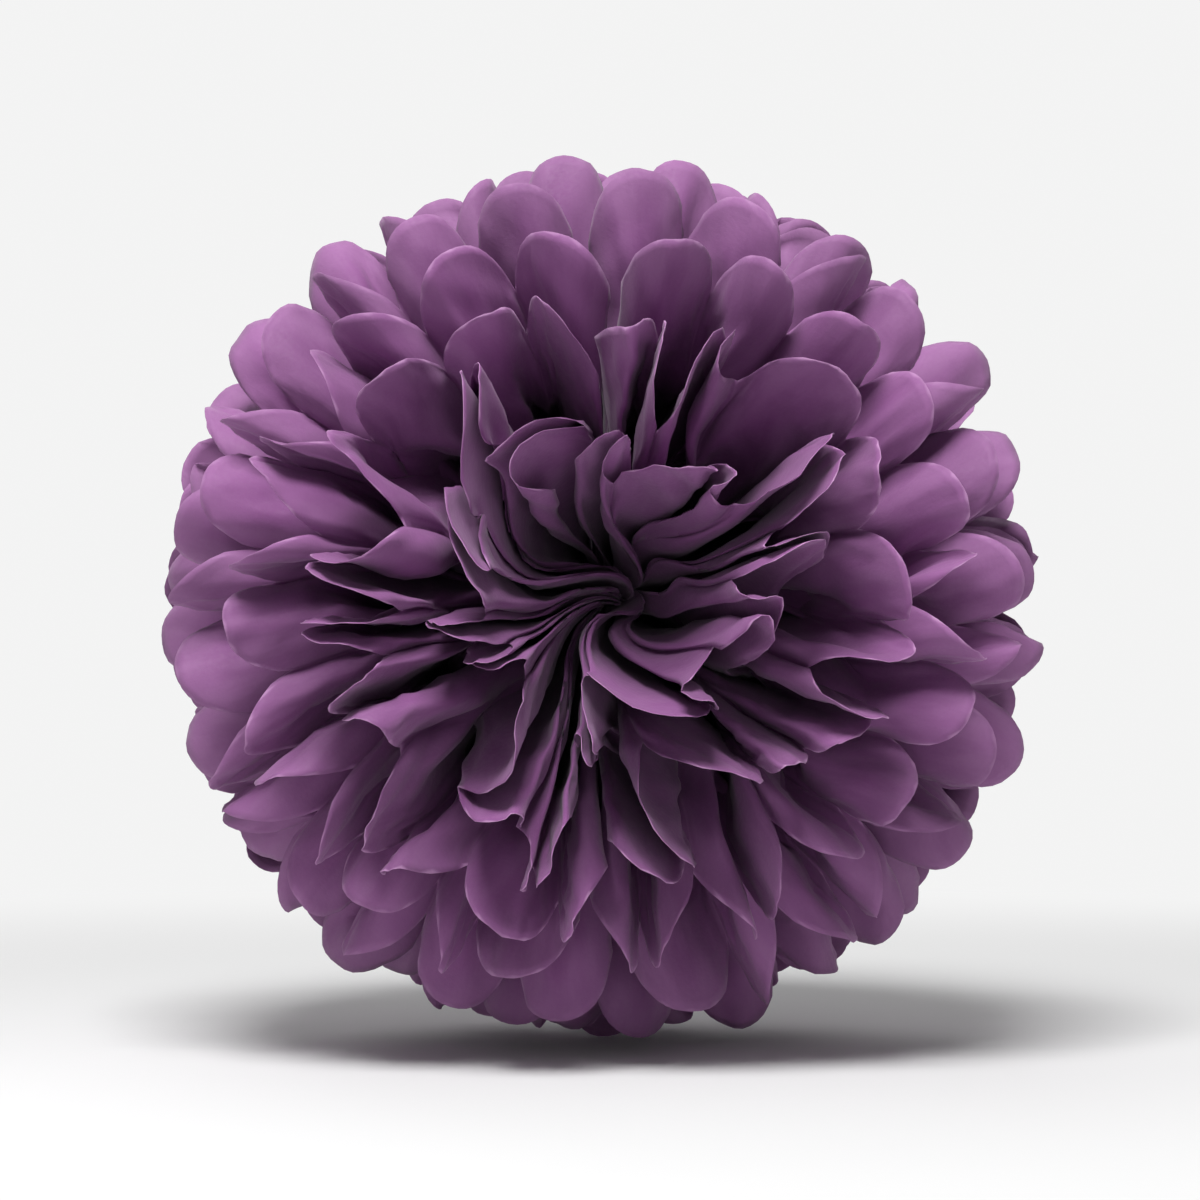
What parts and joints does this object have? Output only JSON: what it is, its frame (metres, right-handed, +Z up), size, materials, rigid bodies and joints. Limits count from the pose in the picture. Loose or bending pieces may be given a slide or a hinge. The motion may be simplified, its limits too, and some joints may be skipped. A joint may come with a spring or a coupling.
{
  "type": "tissue paper pom pom",
  "caption": "Fluffed ball of pleated tissue paper sheets with rounded petals, gathered and tied at the middle with wire, hung up as a party decoration.",
  "frame": {"origin": "the wire tie at the ball's centre", "axes": "-Y is the way the flower's front faces, +Z is up, along the twisted ends of the wire, and the two fans of each sheet part along the plane X = 0"},
  "size_m": [0.2425, 0.244, 0.2421],
  "materials": {
    "tissue": "matte violet tissue paper",
    "wire": "plain soft wire"
  },
  "bodies": {
    "root": {"front_sheet_1": "tissue", "front_sheet_2": "tissue", "front_sheet_3": "tissue", "front_sheet_4": "tissue", "front_sheet_5": "tissue", "front_sheet_6": "tissue", "back_sheet_1": "tissue", "back_sheet_2": "tissue", "back_sheet_3": "tissue", "back_sheet_4": "tissue", "back_sheet_5": "tissue", "back_sheet_6": "tissue", "tie_wire": "wire"}
  },
  "joints": []
}
